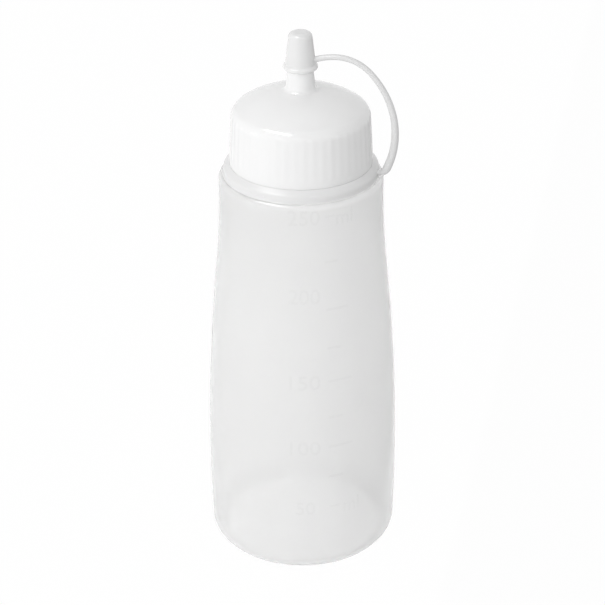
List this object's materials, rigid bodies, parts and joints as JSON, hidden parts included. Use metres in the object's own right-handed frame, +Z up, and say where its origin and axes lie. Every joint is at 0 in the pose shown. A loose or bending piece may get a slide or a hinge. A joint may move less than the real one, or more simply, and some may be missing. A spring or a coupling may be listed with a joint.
{
  "type": "squeeze bottle",
  "caption": "Tall translucent plastic squeeze bottle with a hollow waist, a ribbed domed screw cap with a tapered nozzle, and a thimble cap tied to a neck ring by a curved strap.",
  "frame": {"origin": "on the bottle's axis, on the surface that its foot stands on", "axes": "+Z up along the bottle's axis; the tether's strap lies on the +X side, in the XZ plane; -Y is the front, where the graduations are"},
  "size_m": [0.058, 0.058, 0.1652],
  "materials": {
    "bottle_plastic": "milky translucent polyethylene, satin",
    "cap_plastic": "white polyethylene, nearly opaque, soft gloss",
    "tether_plastic": "milky white polyethylene, soft gloss"
  },
  "bodies": {
    "root": {"bottle": "bottle_plastic", "nozzle_cap": "cap_plastic", "tether_cap": "tether_plastic"}
  },
  "joints": []
}
